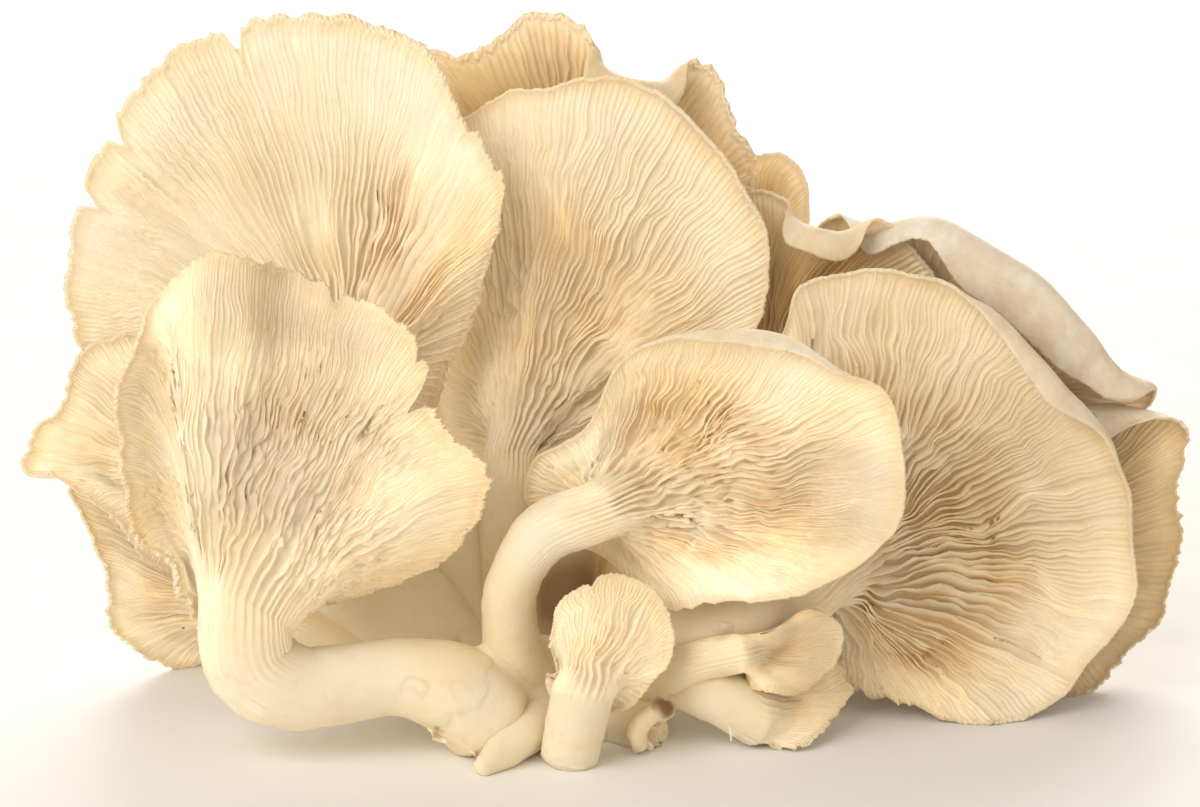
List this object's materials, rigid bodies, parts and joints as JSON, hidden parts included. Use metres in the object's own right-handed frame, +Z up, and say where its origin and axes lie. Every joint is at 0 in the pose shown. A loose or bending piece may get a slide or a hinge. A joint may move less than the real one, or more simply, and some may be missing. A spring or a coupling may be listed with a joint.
{
  "type": "oyster mushroom cluster",
  "caption": "Cluster of pale oyster-type mushrooms with fanned, gilled caps on bent stems that grow from one clump, resting on its cut base.",
  "frame": {"origin": "bottom centre of the cluster's box, on the surface it rests on", "axes": "+Z up, -Y towards the gilled front of the caps, +X to the right as seen from the front"},
  "size_m": [0.2361, 0.0993, 0.1369],
  "materials": {
    "pale_flesh": "matte creamy gills and smooth stems",
    "shaded_flesh": "matte warm buff gills",
    "grey_flesh": "matte beige-grey cap skin and gills",
    "clump_flesh": "matte cut flesh with brown flecks"
  },
  "bodies": {
    "root": {"base_clump": "clump_flesh", "sprout_front": "pale_flesh", "cut_stub": "clump_flesh", "mushroom_left_back": "pale_flesh", "mushroom_centre_back": "pale_flesh", "mushroom_right_front": "pale_flesh", "mushroom_centre_front": "pale_flesh", "mushroom_left_front": "pale_flesh", "button_front": "pale_flesh", "small_cap_right": "pale_flesh", "trumpet_right": "pale_flesh", "mushroom_top_back": "shaded_flesh", "small_cap_back": "shaded_flesh", "mushroom_middle_back": "shaded_flesh", "mushroom_right_back": "grey_flesh", "mushroom_far_right": "grey_flesh", "mushroom_far_left": "pale_flesh", "mushroom_low_left": "pale_flesh"}
  },
  "joints": []
}
